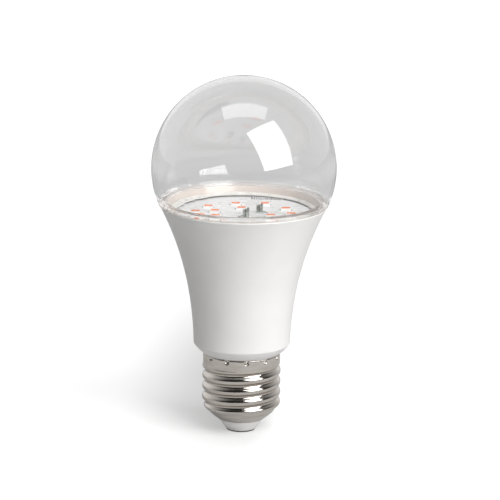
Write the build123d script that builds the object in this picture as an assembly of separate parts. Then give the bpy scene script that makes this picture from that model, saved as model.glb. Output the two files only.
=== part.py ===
from build123d import *
import math
import os

os.makedirs("parts", exist_ok=True)

# A clear-globe LED lamp on a 27 mm screw cap. Millimetres, +Z up. The origin is the middle of the
# centre contact's outer face, so the lamp stands on its contact with the globe on top.

# Small clearances between pieces that fit one another
FIT = 0.05
SLIDE = 0.10

# Screw cap: rolled shell, insulator and centre contact
SHEET = 0.30
COLLAR_R = 12.88
CREST_R = 13.10
ROOT_R = 12.10
PITCH = 3.629
THREAD_PHASE_Z = 9.60
FOOT_R = 7.70
FOOT_Z = 4.00
CONE_HEIGHT = 6.0
CONE_ROUNDNESS = 1.8
THREAD_START_RISE = 2.1
THREAD_START_LENGTH = 2.8
THREAD_LENGTH = 19.4
RUNOUT = 1.6
COLLAR_HEIGHT = 3.55
CIRCLES_PER_TURN = 12
CONTACT_R = 4.85
CONTACT_THICKNESS = 0.50
CONTACT_EDGE = 0.20
CONTACT_PIN_R = 0.90
INSULATOR_FOOT_R = 5.00
INSULATOR_DEPTH = 2.2
INSULATOR_TOP = 1.2
INSULATOR_BORE_R = 4.0

# Stake marks that hold the shell on the neck
STAKE_COUNT = 12
STAKE_FIRST_ANGLE = 8.0
STAKE_R = 0.70
STAKE_DEPTH = 0.28
STAKE_BELOW_EDGE = 1.00

# Moulded housing
WALL = 1.40
NECK_WALL = 1.30
SHOULDER_R = 16.10
SHOULDER_HEIGHT = 3.15
SHOULDER_BULGE = 0.30
BOWL_HEIGHT = 47.15
rim_rOUND = 0.35
BOWL_LOW_HANDLE = 0.04
BOWL_HIGH_HANDLE = 0.31

# Globe
GLOBE_R = 30.68
GLOBE_PROUD = 2.81
GLOBE_WALL = 1.10
GLOBE_OVERHANG = 0.25
SPIGOT_DEPTH = 2.0
SPIGOT_WALL = 1.15
BEAD_HEIGHT = 1.8

# LED board and the aluminium cup that carries it
BOARD_INSET = 3.87
BOARD_THICKNESS = 1.2
BOARD_DROP = 2.8
BITE_LEFT = 2.6
BITE_RIGHT = 15.2
BITE_FRONT = 18.4
BITE_ROUND = 1.2
CUP_WALL = 0.90
CUP_FOOT_RISE = 4.0
LEDGE_BORE_R = 15.5
RIM_STEP = 0.20
KNURL_COUNT = 96
KNURL_DEPTH = 0.35

# Sealing bead under and inside the globe's spigot
BEAD_FILLET = 0.75
BEAD_OVERLAP = 0.45

# LED packages: body, phosphor window and the places on the board
LED_LENGTH = 3.5
LED_WIDTH = 2.8
LED_HEIGHT = 0.75
WINDOW_LENGTH = 3.0
WINDOW_WIDTH = 2.3
WINDOW_DEPTH = 0.45
WINDOW_ROUND = 0.55
WINDOW_TAPER = 15
LED_PLACES = [
    (-11.8, 6.1),
    (-15.9, -1.3),
    (-9.5, 0.0),
    (-9.2, -6.9),
    (-14.2, -6.2),
    (-2.6, 10.5),
    (-0.7, 4.4),
    (7.2, 10.9),
    (14.2, 4.2),
    (15.8, -3.0),
    (9.1, -5.7),
    (-6.4, -14.6),
    (2.2, -16.4),
    (10.4, -13.0),
]

# Spring terminals on the LED board
TERMINAL_LEFT = (0.9, -6.6)
TERMINAL_RIGHT = (5.4, -0.5)
TERMINAL_SHEET = 0.25
TERMINAL_BASE = 4.2
TOWER_WIDTH = 2.2
TOWER_DEPTH = 1.7
TOWER_HEIGHT = 2.9
TOWER_SLANT = 12
TOWER_SLOT = 0.5
PIN = 0.60
PIN_BELOW_TOP = 0.7

# Driver: upright circuit board and what is soldered to it
DRIVER_THICKNESS = 1.0
DRIVER_NECK_WIDTH = 18.0
DRIVER_WIDTH = 24.0
DRIVER_GAP = 4.3
DRIVER_TAIL = 12.0
DRIVER_HEIGHT = 48.0
RIB_THICKNESS = 0.8
RIB_REACH = 1.3
PIN_SOLDER_LENGTH = 4.0
CAPACITOR_R = 4.0
CAPACITOR_LENGTH = 12.0
CAPACITOR_LIFT = 0.4
CAPACITOR_RISE = 2.0
LEAD_R = 0.30
LEAD_SPACING = 3.5
LEAD_REACH = 1.6
INDUCTOR_R = 4.0
INDUCTOR_HEIGHT = 8.5
INDUCTOR_FLANGE = 1.1
INDUCTOR_CORE_R = 1.8
WINDING_R = 3.5
INDUCTOR_DROP = 19.0
FILM_WIDTH = 9.0
FILM_DEPTH = 4.2
FILM_HEIGHT = 8.0
FILM_ROUND = 1.0
FILM_DROP = 8.2
CHIP_LENGTH = 4.9
CHIP_WIDTH = 3.9
CHIP_HEIGHT = 1.45
CHIP_PLACE = (-7.2, 30.0)
BRIDGE_LENGTH = 4.7
BRIDGE_WIDTH = 3.9
BRIDGE_HEIGHT = 2.4
BRIDGE_PLACE = (7.4, 22.0)
LEG_WIDTH = 0.45
LEG_THICKNESS = 0.20
LEG_REACH = 0.9
FUSE_R = 1.5
FUSE_LENGTH = 7.0
FUSE_GAP = 0.4
FUSE_RISE = 3.5
WIRE_R = 0.55

# Radii of the globe's joint follow the globe
rim_r = GLOBE_R - GLOBE_PROUD
board_r = rim_r - BOARD_INSET

# Heights that follow from the sizes above
thread_foot_z = FOOT_Z + THREAD_START_RISE
collar_z = FOOT_Z + THREAD_LENGTH
shell_top_z = collar_z + COLLAR_HEIGHT
neck_top_z = shell_top_z + FIT
shoulder_z = neck_top_z + SHOULDER_HEIGHT
rim_z = shoulder_z + BOWL_HEIGHT
board_top_z = rim_z - BOARD_DROP
board_foot_z = board_top_z - BOARD_THICKNESS
spigot_z = rim_z - SPIGOT_DEPTH

# Radii that follow
neck_r = COLLAR_R - SHEET - SLIDE
neck_bore_r = neck_r - NECK_WALL
neck_foot_z = collar_z
half_depth = (CREST_R - ROOT_R) / 2


def turned(outline):
    """Solid of revolution about Z of a closed outline drawn as radius and height."""
    return revolve(make_face(Plane.XZ * outline), Axis.Z)


def cylinder(radius, foot_z, top_z):
    """Upright cylinder about Z between two heights."""
    return Pos(0, 0, foot_z) * Cylinder(radius, top_z - foot_z, align=(Align.CENTER, Align.CENTER, Align.MIN))


def block(width, depth, height):
    """Box that stands on z = 0 with its middle on the axis."""
    return Box(width, depth, height, align=(Align.CENTER, Align.CENTER, Align.MIN))


def smooth(share):
    """Step from 0 to 1 that starts and ends level."""
    t = min(max(share, 0.0), 1.0)
    return t * t * (3 - 2 * t)


def runout(z):
    """Step from 0 to 1 over the last of the thread, where it fades into the collar."""
    return smooth((z - collar_z + RUNOUT) / RUNOUT)


def shell_radius(z):
    """Outer radius of the shell's metal at a height, with the thread averaged out."""
    rise = min(max((z - FOOT_Z) / CONE_HEIGHT, 0.0), 1.0)
    cone = FOOT_R + (ROOT_R + half_depth - FOOT_R) * (1 - (1 - rise) ** CONE_ROUNDNESS)
    return cone + (COLLAR_R - ROOT_R - half_depth) * runout(z)


def thread_height(z):
    """Height of the thread above the shell's mean radius, faded out at both ends."""
    start = smooth((z - thread_foot_z) / THREAD_START_LENGTH)
    return half_depth * start * (1 - runout(z))


def threaded(inset):
    """Solid under the rope thread. It is drawn through level circles whose middle goes round the axis
    once in each pitch, which is what makes a right-handed thread with round crests and roots."""
    count = math.ceil((collar_z - thread_foot_z) / PITCH * CIRCLES_PER_TURN)
    circles = []
    for i in range(count + 1):
        z = thread_foot_z + (collar_z - thread_foot_z) * i / count
        turn = 2 * math.pi * (z - THREAD_PHASE_Z) / PITCH
        shift = thread_height(z)
        middle = Plane(origin=(shift * math.cos(turn), shift * math.sin(turn), z))
        circles.append(Wire.make_circle(shell_radius(z) - inset, middle))
    return Solid.make_loft(circles)


def end_cone():
    """Ring of sheet metal below the thread, where the shell is round."""
    steps = [FOOT_Z + THREAD_START_RISE * i / 4 for i in range(5)]
    outer = Spline(*[(shell_radius(z), z) for z in steps])
    inner = Spline(*[(shell_radius(z) - SHEET, z) for z in steps])
    ends = [Line(outer @ 1, inner @ 1), Line(outer @ 0, inner @ 0)]
    return turned(outer + inner + ends)


def stake_places():
    """Locations of the stake marks round the collar, at the centre of each punch's ball."""
    z = shell_top_z - STAKE_BELOW_EDGE
    r = COLLAR_R - STAKE_DEPTH + STAKE_R
    front = -90 + STAKE_FIRST_ANGLE
    return [Rot(0, 0, front + 360 / STAKE_COUNT * i) * Pos(r, 0, z) for i in range(STAKE_COUNT)]


def make_screw_shell():
    """Rolled metal shell: end cone, rope thread and plain collar with its stake marks."""
    solid_collar = cylinder(COLLAR_R, collar_z, shell_top_z)
    collar = solid_collar - cylinder(COLLAR_R - SHEET, collar_z, shell_top_z)
    for place in stake_places():
        collar = collar + (place * Sphere(STAKE_R + SHEET) & solid_collar)
    for place in stake_places():
        collar = collar - place * Sphere(STAKE_R)
    thread = threaded(0) - threaded(SHEET)
    return end_cone() + thread + collar


def make_cap_insulator():
    """Plastic cone between the shell and the contact, bored for the contact's pin."""
    inner_z = [FOOT_Z, FOOT_Z + INSULATOR_TOP / 2, FOOT_Z + INSULATOR_TOP]
    seat = [(shell_radius(z) - SHEET - FIT, z) for z in inner_z]
    bore = CONTACT_PIN_R + FIT
    outline = Polyline(
        (bore, CONTACT_THICKNESS),
        (INSULATOR_FOOT_R, CONTACT_THICKNESS),
        (FOOT_R, FOOT_Z),
        *seat,
        (bore, FOOT_Z + INSULATOR_TOP),
        close=True,
    )
    hollow = cylinder(INSULATOR_BORE_R, FOOT_Z + INSULATOR_TOP - INSULATOR_DEPTH, FOOT_Z + INSULATOR_TOP)
    post = cylinder(2 * bore, CONTACT_THICKNESS, FOOT_Z + INSULATOR_TOP)
    return turned(outline) - (hollow - post)


def make_centre_contact():
    """Flat contact disc with a rolled edge, and the pin that is riveted through the insulator."""
    disc = cylinder(CONTACT_R, 0, CONTACT_THICKNESS)
    disc = fillet(disc.edges().sort_by(Axis.Z)[0], CONTACT_EDGE)
    return disc + cylinder(CONTACT_PIN_R, CONTACT_THICKNESS, FOOT_Z + INSULATOR_TOP + CONTACT_PIN_R)


def bowl_radius(z):
    """Outer radius of the bowl at a height, by the same cubic curve as the bowl itself."""
    t = (z - shoulder_z) / BOWL_HEIGHT
    share = 3 * (1 - t) ** 2 * t * BOWL_LOW_HANDLE + 3 * (1 - t) * t**2 * BOWL_HIGH_HANDLE + t**3
    return SHOULDER_R + share * (rim_r - SHOULDER_R)


def bowl(inset):
    """Solid of the flared bowl from shoulder to rim, with its radius less by the inset."""
    growth = rim_r - SHOULDER_R
    shares = (0, BOWL_LOW_HANDLE, BOWL_HIGH_HANDLE, 1)
    heights = [shoulder_z + BOWL_HEIGHT * i / 3 for i in range(4)]
    handles = [(SHOULDER_R + share * growth - inset, z) for share, z in zip(shares, heights)]
    rest = Polyline(handles[-1], (0, rim_z), (0, shoulder_z), handles[0])
    return turned(Bezier(*handles) + rest)


def slab(foot_z, top_z):
    """Wide disc that keeps only what lies between two heights."""
    return cylinder(rim_r + GLOBE_R, foot_z, top_z)


def make_housing_shell():
    """Moulded housing: neck, shoulder and flared bowl in one wall, with the driver's slots."""
    lip_r = COLLAR_R + SLIDE
    mid_r = (lip_r + SHOULDER_R) / 2 + SHOULDER_BULGE
    mid_z = (neck_top_z + shoulder_z) / 2
    outline = ThreePointArc((SHOULDER_R, shoulder_z), (mid_r, mid_z), (lip_r, neck_top_z)) + Polyline(
        (lip_r, neck_top_z),
        (neck_r, neck_top_z),
        (neck_r, neck_foot_z),
        (0, neck_foot_z),
        (0, shoulder_z),
        (SHOULDER_R, shoulder_z),
    )
    body = turned(outline) + bowl(0)
    body = fillet(body.edges().sort_by(Axis.Z)[-1], rim_rOUND)
    floor_z = neck_top_z + WALL / 2
    wide_z = shoulder_z + WALL / 2
    funnel = turned(
        Polyline(
            (0, floor_z),
            (neck_bore_r, floor_z),
            (SHOULDER_R - WALL, wide_z),
            (0, wide_z),
            close=True,
        )
    )
    body = body - cylinder(neck_bore_r, neck_foot_z, floor_z) - funnel
    body = body - (bowl(WALL) & slab(wide_z, rim_z))
    for place in stake_places():
        body = body - place * Sphere(STAKE_R + SHEET + SLIDE)
    return body + driver_ribs()


def make_globe():
    """Clear globe: ball, thick bead above the rim, and a spigot that goes into the bowl."""
    seat_z = rim_z + FIT
    seat_r = rim_r + GLOBE_OVERHANG
    centre_z = seat_z + math.sqrt(GLOBE_R**2 - seat_r**2)
    ball = Pos(0, 0, centre_z) * Sphere(GLOBE_R) - slab(seat_z - 2 * GLOBE_R, seat_z)
    spigot = bowl(WALL + FIT) & slab(spigot_z, rim_z)
    throat = bowl(WALL + FIT + SPIGOT_WALL) & slab(spigot_z, rim_z)
    bead_z = rim_z + BEAD_HEIGHT
    foot_r = rim_r - WALL - FIT - SPIGOT_WALL
    top_r = math.sqrt((GLOBE_R - GLOBE_WALL) ** 2 - (centre_z - bead_z - WALL) ** 2)
    neck = turned(
        Polyline(
            (0, rim_z),
            (foot_r, rim_z),
            (foot_r + BEAD_HEIGHT / 3, bead_z),
            (top_r, bead_z + WALL),
            (0, bead_z + WALL),
            close=True,
        )
    )
    hollow = Pos(0, 0, centre_z) * Sphere(GLOBE_R - GLOBE_WALL) - slab(seat_z - 2 * GLOBE_R, bead_z + WALL)
    joint = cylinder(rim_r - WALL - FIT, rim_z - FIT, seat_z)
    return ball + joint + spigot - throat - neck - hollow


def make_globe_adhesive():
    """Soft sealing bead that fills the step under the spigot and runs up inside it."""
    foot_z = board_top_z + RIM_STEP
    under_z = spigot_z - FIT
    top_z = spigot_z + BEAD_FILLET
    inner_r = board_r - BEAD_OVERLAP
    outer_inset = WALL + 2 * FIT
    throat_r = bowl_radius(spigot_z) - outer_inset - SPIGOT_WALL
    hollow = ((inner_r + 2 * throat_r) / 3, (2 * foot_z + top_z) / 3)
    outline = ThreePointArc((inner_r, foot_z), hollow, (throat_r, top_z)) + Polyline(
        (throat_r, top_z),
        (throat_r, under_z),
        (bowl_radius(under_z) - outer_inset, under_z),
        (bowl_radius(foot_z) - outer_inset, foot_z),
        (inner_r, foot_z),
    )
    return turned(outline)


def bite(foot_z, top_z):
    """Cutter for the notch in the board's back edge, round at its two inner corners."""
    outline = Rectangle(BITE_RIGHT - BITE_LEFT, board_r - BITE_FRONT, align=(Align.MIN, Align.MIN))
    outline = fillet(outline.vertices().group_by(Axis.Y)[0], BITE_ROUND)
    return extrude(Pos(BITE_LEFT, BITE_FRONT, foot_z) * outline, top_z - foot_z)


def make_heat_sink_cup():
    """Drawn aluminium cup inside the bowl, with a ledge and a knurled rim that grips the board."""
    foot_z = shoulder_z + CUP_FOOT_RISE
    top_z = board_top_z + RIM_STEP - FIT
    cup = bowl(WALL + FIT) & slab(foot_z, top_z)
    inside = bowl(WALL + FIT + CUP_WALL) & slab(foot_z, board_foot_z - CUP_WALL)
    cup = cup - inside - cylinder(LEDGE_BORE_R, foot_z, board_foot_z)
    cup = cup - cylinder(board_r + FIT, board_foot_z, top_z) - bite(board_foot_z - CUP_WALL, board_foot_z)
    tooth = 2 * math.pi * board_r / KNURL_COUNT
    groove = Plane.XY * Polyline(
        (board_r, -tooth / 2), (board_r + FIT + KNURL_DEPTH, 0), (board_r, tooth / 2), close=True
    )
    cutter = extrude(Pos(0, 0, board_foot_z) * make_face(groove), top_z - board_foot_z)
    cutters = [Rot(0, 0, 360 / KNURL_COUNT * i) * cutter for i in range(KNURL_COUNT)]
    return cup - cutters


def make_led_board():
    """Round metal-core board with a bite in its back edge and holes for the driver's pins."""
    board = cylinder(board_r, board_foot_z, board_top_z)
    board = board - bite(board_foot_z, board_top_z)
    for x, y in (TERMINAL_LEFT, TERMINAL_RIGHT):
        board = board - Pos(x, y, 0) * cylinder(PIN, board_foot_z, board_top_z)
    return board


def window(inset, depth):
    """Tapered pocket of an LED package, open upwards, with its mouth at z = 0."""
    mouth = RectangleRounded(WINDOW_LENGTH - 2 * inset, WINDOW_WIDTH - 2 * inset, WINDOW_ROUND - inset)
    return extrude(mouth, -depth, taper=WINDOW_TAPER)


def make_led_body():
    """Moulded white package with a tapered pocket, standing on z = 0."""
    body = block(LED_LENGTH, LED_WIDTH, LED_HEIGHT)
    return body - Pos(0, 0, LED_HEIGHT) * window(0, WINDOW_DEPTH)


def make_led_phosphor():
    """Phosphor-filled resin that fills the pocket."""
    return Pos(0, 0, LED_HEIGHT) * window(FIT / 2, WINDOW_DEPTH)


def make_terminal():
    """Folded spring terminal: base plate and a slotted tower with a slanted, open top."""
    base = block(TERMINAL_BASE, TOWER_DEPTH, TERMINAL_SHEET)
    tower = block(TOWER_WIDTH, TOWER_DEPTH, TOWER_HEIGHT)
    above = block(2 * TERMINAL_BASE, TERMINAL_BASE, TOWER_HEIGHT)
    tower = tower - Pos(0, 0, TOWER_HEIGHT) * Rot(0, -TOWER_SLANT, 0) * above
    hollow = block(TOWER_WIDTH - 2 * TERMINAL_SHEET, TOWER_DEPTH - 2 * TERMINAL_SHEET, 2 * TOWER_HEIGHT)
    slot = block(TOWER_SLOT, 2 * TERMINAL_SHEET, TOWER_HEIGHT / 2)
    return base + tower - hollow - Pos(0, -TOWER_DEPTH / 2, 2 * TERMINAL_SHEET) * slot


# The driver is built with its board across the X axis and then turned to face the two terminals
run = (TERMINAL_RIGHT[0] - TERMINAL_LEFT[0], TERMINAL_RIGHT[1] - TERMINAL_LEFT[1])
span = math.hypot(*run)
driver_angle = math.degrees(math.atan2(run[1], run[0]))
pin_y = (TERMINAL_LEFT[1] * run[0] - TERMINAL_LEFT[0] * run[1]) / span
pin_x = (TERMINAL_LEFT[0] * run[0] + TERMINAL_LEFT[1] * run[1]) / span
face_y = pin_y - PIN / 2
driver_top_z = board_foot_z - DRIVER_GAP
driver_foot_z = driver_top_z - DRIVER_HEIGHT
fuse_x = CAPACITOR_R + FUSE_R + FUSE_GAP
turn_driver = Rot(0, 0, driver_angle)


def driver_ribs():
    """Two pairs of ribs in the neck's bore that hold the driver board's edges."""
    ribs = []
    rib_height = neck_top_z - neck_foot_z
    wall_x = math.sqrt(neck_bore_r**2 - face_y**2) + NECK_WALL / 4
    rib_length = wall_x - DRIVER_NECK_WIDTH / 2 + RIB_REACH
    for side in (-1, 1):
        x = side * (wall_x - rib_length / 2)
        for y in (face_y + SLIDE + RIB_THICKNESS / 2, face_y - DRIVER_THICKNESS - SLIDE - RIB_THICKNESS / 2):
            ribs.append(turn_driver * Pos(x, y, neck_foot_z) * block(rib_length, RIB_THICKNESS, rib_height))
    return ribs


def on_driver(x, rise):
    """Location on the driver board's face, with z pointing away from the board."""
    return Pos(x, face_y, driver_foot_z + rise) * Rot(-90, 0, 0)


def make_driver_board():
    """Upright circuit board: narrow tail in the neck and a wider head in the cup."""
    y = face_y - DRIVER_THICKNESS / 2
    tail = Pos(0, y, driver_foot_z) * block(DRIVER_NECK_WIDTH, DRIVER_THICKNESS, DRIVER_HEIGHT)
    head_height = DRIVER_HEIGHT - DRIVER_TAIL
    head = Pos(0, y, driver_foot_z + DRIVER_TAIL) * block(DRIVER_WIDTH, DRIVER_THICKNESS, head_height)
    return tail + head


def make_output_pin(x):
    """Square pin from the driver board up into a spring terminal."""
    foot_z = driver_top_z - PIN_SOLDER_LENGTH
    top_z = board_top_z + TOWER_HEIGHT - PIN_BELOW_TOP
    return Pos(x, pin_y, foot_z) * block(PIN, PIN, top_z - foot_z)


def wire_solid(points, bends, radius):
    """Round wire along straight runs joined by tangent arcs."""
    path = FilletPolyline(*points, radius=bends)
    return sweep(Plane(origin=path @ 0, z_dir=path % 0) * Circle(radius), path=path)


def make_electrolytic_capacitor():
    """Aluminium can that lies along the board in the neck, with two bent leads."""
    y = face_y + CAPACITOR_R + CAPACITOR_LIFT
    foot_z = driver_foot_z + CAPACITOR_RISE
    top_z = foot_z + CAPACITOR_LENGTH
    can = Pos(0, y, 0) * cylinder(CAPACITOR_R, foot_z, top_z)
    can = fillet(can.edges().filter_by(GeomType.CIRCLE), CAPACITOR_LIFT)
    for x in (-LEAD_SPACING / 2, LEAD_SPACING / 2):
        route = [(x, y, top_z), (x, y, top_z + LEAD_REACH), (x, face_y, top_z + LEAD_REACH)]
        can = can + wire_solid(route, 2 * LEAD_R, LEAD_R)
    return can


def make_inductor_core():
    """Ferrite drum: two flanges on a thin middle."""
    drum = cylinder(INDUCTOR_CORE_R, 0, INDUCTOR_HEIGHT)
    for foot in (0, INDUCTOR_HEIGHT - INDUCTOR_FLANGE):
        drum = drum + cylinder(INDUCTOR_R, foot, foot + INDUCTOR_FLANGE)
    return drum


def make_inductor_winding():
    """Copper winding between the drum's flanges."""
    foot = INDUCTOR_FLANGE + FIT
    top = INDUCTOR_HEIGHT - INDUCTOR_FLANGE - FIT
    return cylinder(WINDING_R, foot, top) - cylinder(INDUCTOR_CORE_R + FIT, foot, top)


def make_film_capacitor():
    """Dipped film capacitor with rounded edges, flat on the board."""
    body = block(FILM_WIDTH, FILM_HEIGHT, FILM_DEPTH)
    return fillet(body.edges().filter_by(Axis.Z) + body.edges().group_by(Axis.Z)[-1], FILM_ROUND)


def make_chip(length, width, height, legs):
    """Moulded chip with bent legs along both long sides, standing on z = 0."""
    chip = Pos(0, 0, LEG_THICKNESS) * block(length, width, height - LEG_THICKNESS)
    spacing = length / legs
    for side in (-1, 1):
        for i in range(legs):
            x = (i - (legs - 1) / 2) * spacing
            upper = Pos(x, side * (width + LEG_REACH) / 2, height / 2) * block(
                LEG_WIDTH, LEG_REACH, LEG_THICKNESS
            )
            down = Pos(x, side * (width / 2 + LEG_REACH - LEG_THICKNESS / 2), 0) * block(
                LEG_WIDTH, LEG_THICKNESS, height / 2 + LEG_THICKNESS
            )
            chip = chip + upper + down
    return chip


def make_fuse_resistor():
    """Dipped fuse resistor beside the capacitor, with a lead at each end."""
    x = fuse_x
    y = face_y + FUSE_R + FIT
    foot_z = driver_foot_z + FUSE_RISE
    body = Pos(x, y, 0) * cylinder(FUSE_R, foot_z, foot_z + FUSE_LENGTH)
    body = fillet(body.edges().filter_by(GeomType.CIRCLE), FUSE_R / 2)
    up_z = foot_z + FUSE_LENGTH
    upper = [(x, y, up_z), (x, y, up_z + LEAD_REACH), (x, face_y, up_z + LEAD_REACH)]
    body = body + wire_solid(upper, 2 * LEAD_R, LEAD_R)
    return body + Pos(x, y, 0) * cylinder(LEAD_R, foot_z - LEAD_REACH, foot_z)


def make_live_lead():
    """Insulated wire from the fuse resistor down to the centre contact's pin."""
    x = fuse_x
    y = face_y + FUSE_R + FIT
    top = driver_foot_z + FUSE_RISE - LEAD_REACH
    pin_top = FOOT_Z + INSULATOR_TOP + CONTACT_PIN_R
    drop = top - pin_top
    points = [(x, y, top), (x, y, top - drop / 3), (0, 0, pin_top + drop / 3), (0, 0, pin_top)]
    return wire_solid(points, 2 * WIRE_R, WIRE_R)


def make_neutral_lead():
    """Bare wire from the driver's foot out to the root of the thread inside the shell."""
    x = -DRIVER_NECK_WIDTH / 4
    y = face_y + WIRE_R + FIT
    way = math.atan2(y, x) + math.radians(driver_angle)
    turns = round((driver_foot_z - WIRE_R - THREAD_PHASE_Z) / PITCH - way / (2 * math.pi) - 1.5)
    root_z = THREAD_PHASE_Z + PITCH * (turns + 0.5 + way / (2 * math.pi))
    reach = ROOT_R - SHEET - SLIDE
    share = reach / math.hypot(x, y)
    points = [(x, y, driver_foot_z + CAPACITOR_RISE), (x, y, root_z), (x * share, y * share, root_z)]
    return wire_solid(points, 2 * WIRE_R, WIRE_R)


def save(name, shape):
    """Writes one piece to its own file."""
    export_step(shape, f"parts/{name}.step")


save("screw_shell", make_screw_shell())
save("cap_insulator", make_cap_insulator())
save("centre_contact", make_centre_contact())
save("housing_shell", make_housing_shell())
save("globe", make_globe())
save("globe_adhesive", make_globe_adhesive())
save("heat_sink_cup", make_heat_sink_cup())
save("led_board", make_led_board())
for number, (led_x, led_y) in enumerate(LED_PLACES, start=1):
    led_place = Pos(led_x, led_y, board_top_z)
    save(f"led_body_{number:02d}", led_place * make_led_body())
    save(f"led_phosphor_{number:02d}", led_place * make_led_phosphor())
for side, (terminal_x, terminal_y) in (("left", TERMINAL_LEFT), ("right", TERMINAL_RIGHT)):
    save(f"terminal_{side}", Pos(terminal_x, terminal_y, board_top_z) * make_terminal())
save("output_pin_left", turn_driver * make_output_pin(pin_x))
save("output_pin_right", turn_driver * make_output_pin(pin_x + span))
save("driver_board", turn_driver * make_driver_board())
save("electrolytic_capacitor", turn_driver * make_electrolytic_capacitor())
save("inductor_core", turn_driver * on_driver(0, DRIVER_HEIGHT - INDUCTOR_DROP) * make_inductor_core())
save("inductor_winding", turn_driver * on_driver(0, DRIVER_HEIGHT - INDUCTOR_DROP) * make_inductor_winding())
save("film_capacitor", turn_driver * on_driver(0, DRIVER_HEIGHT - FILM_DROP) * make_film_capacitor())
controller = make_chip(CHIP_LENGTH, CHIP_WIDTH, CHIP_HEIGHT, 4)
bridge = make_chip(BRIDGE_LENGTH, BRIDGE_WIDTH, BRIDGE_HEIGHT, 2)
save("controller_chip", turn_driver * on_driver(*CHIP_PLACE) * controller)
save("bridge_rectifier", turn_driver * on_driver(*BRIDGE_PLACE) * bridge)
save("fuse_resistor", turn_driver * make_fuse_resistor())
save("live_lead", turn_driver * make_live_lead())
save("neutral_lead", turn_driver * make_neutral_lead())
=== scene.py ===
# %% [markdown]
# A clear LED lamp on a screw cap.
#
# The lamp's solids come from the CAD source and are already in place, in metres, with +Z up. This
# lesson dresses them: it keeps the solids whose shape is right and gives them materials, and it
# works out finer surfaces with numpy for the pieces that polished metal and clear plastic show off.

import math

import bpy
import numpy as np
from mathutils import Matrix, Vector


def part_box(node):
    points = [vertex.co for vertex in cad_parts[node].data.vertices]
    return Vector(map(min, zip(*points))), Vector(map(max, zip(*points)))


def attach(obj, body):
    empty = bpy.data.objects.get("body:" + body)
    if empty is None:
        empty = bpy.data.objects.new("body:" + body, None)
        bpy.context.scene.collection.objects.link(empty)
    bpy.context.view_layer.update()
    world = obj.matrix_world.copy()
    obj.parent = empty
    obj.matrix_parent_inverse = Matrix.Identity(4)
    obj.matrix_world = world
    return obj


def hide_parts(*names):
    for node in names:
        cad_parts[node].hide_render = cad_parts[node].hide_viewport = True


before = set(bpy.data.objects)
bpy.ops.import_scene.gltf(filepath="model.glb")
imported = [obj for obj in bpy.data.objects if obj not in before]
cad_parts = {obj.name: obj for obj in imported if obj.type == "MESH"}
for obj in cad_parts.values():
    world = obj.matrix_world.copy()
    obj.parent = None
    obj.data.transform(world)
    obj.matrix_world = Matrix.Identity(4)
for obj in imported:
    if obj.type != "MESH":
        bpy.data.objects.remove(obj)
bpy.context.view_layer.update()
MM = 0.001

# %% [markdown]
# The camera.
#
# A product photograph like this one is taken with a long lens from over a metre away, so the lamp's
# sides stay nearly parallel. The camera looks down a little, which shows the LED board as a
# flat ellipse, and it is rolled by less than a degree. It could be placed by eye, but the sizes that
# are known on the lamp give its distance, height and roll by fitting.

# %% Camera
AIM = Vector((0, 0, 60)) * MM
CAMERA_DISTANCE = 1200 * MM
CAMERA_ELEVATION = math.radians(13.8)
CAMERA_ROLL = math.radians(0.75)
CAMERA_RIGHT = 2.38 * MM
CAMERA_UP = 1.62 * MM
LENS = 260.0
CLIP_START = 50 * MM

toward = Vector((0, -math.cos(CAMERA_ELEVATION), math.sin(CAMERA_ELEVATION)))
level_up = Vector((0, math.sin(CAMERA_ELEVATION), math.cos(CAMERA_ELEVATION)))
level_right = Vector((1, 0, 0))
right = level_right * math.cos(CAMERA_ROLL) + level_up * math.sin(CAMERA_ROLL)
up = level_up * math.cos(CAMERA_ROLL) - level_right * math.sin(CAMERA_ROLL)
camera = bpy.data.objects.new("camera", bpy.data.cameras.new("camera"))
camera.data.lens = LENS
camera.data.clip_start = CLIP_START
turn = Matrix((right, up, toward)).transposed().to_4x4()
place = AIM + toward * CAMERA_DISTANCE + right * CAMERA_RIGHT + up * CAMERA_UP
camera.matrix_world = Matrix.Translation(place) @ turn
scene = bpy.context.scene
scene.collection.objects.link(camera)
scene.camera = camera
scene.view_settings.view_transform = "Standard"
print("camera at", [round(v, 3) for v in place])

# %% [markdown]
# Nodes and colours.
#
# A material is a small graph of nodes. One helper that adds a node, sets its properties and links
# its inputs keeps every graph short to read. Colours are written as the hex values that a screen
# shows, and the shaders want linear light, so one function converts them.


# %% Helpers for nodes and colours
def add(tree, kind, inputs=(), **settings):
    """Adds one node: settings are its properties, inputs pairs a socket with a value or an output."""
    node = tree.nodes.new("ShaderNode" + kind)
    for key, value in settings.items():
        setattr(node, key, value)
    for socket, value in dict(inputs).items():
        if isinstance(value, bpy.types.NodeSocket):
            tree.links.new(value, node.inputs[socket])
        else:
            node.inputs[socket].default_value = value
    return node


def linear(hex_colour):
    """sRGB hex to linear light: v / 12.92 when v is at most 0.04045, else ((v + 0.055) / 1.055) ^ 2.4."""
    values = [int(hex_colour[i : i + 2], 16) / 255 for i in (1, 3, 5)]
    return [v / 12.92 if v <= 0.04045 else ((v + 0.055) / 1.055) ** 2.4 for v in values] + [1.0]


# %% [markdown]
# The world.
#
# The lamp stands in a white studio. The world is plain white to the camera. Diffuse surfaces get
# soft light that comes mostly from above, as from a ceiling of diffusers, so the board inside the
# globe is bright and the housing's left side stays grey. Polished metal needs something to mirror,
# so for glossy rays the room gets dark on the side of the camera and the softbox, as a real studio
# does: that puts the dark streaks on both sides of the bright one on the screw cap.

# %% World
SKY_ABOVE = 0.76
SKY_NARROWING = 2.0
ROOM_DARK = 0.025
ROOM_LIGHT = 0.90
ROOM_FRONT = math.radians(12)
DARK_FACING = 0.35
LIGHT_FACING = -0.75
ROOM_RISE = 1.3
THROUGH_GLASS = 0.95

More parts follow.
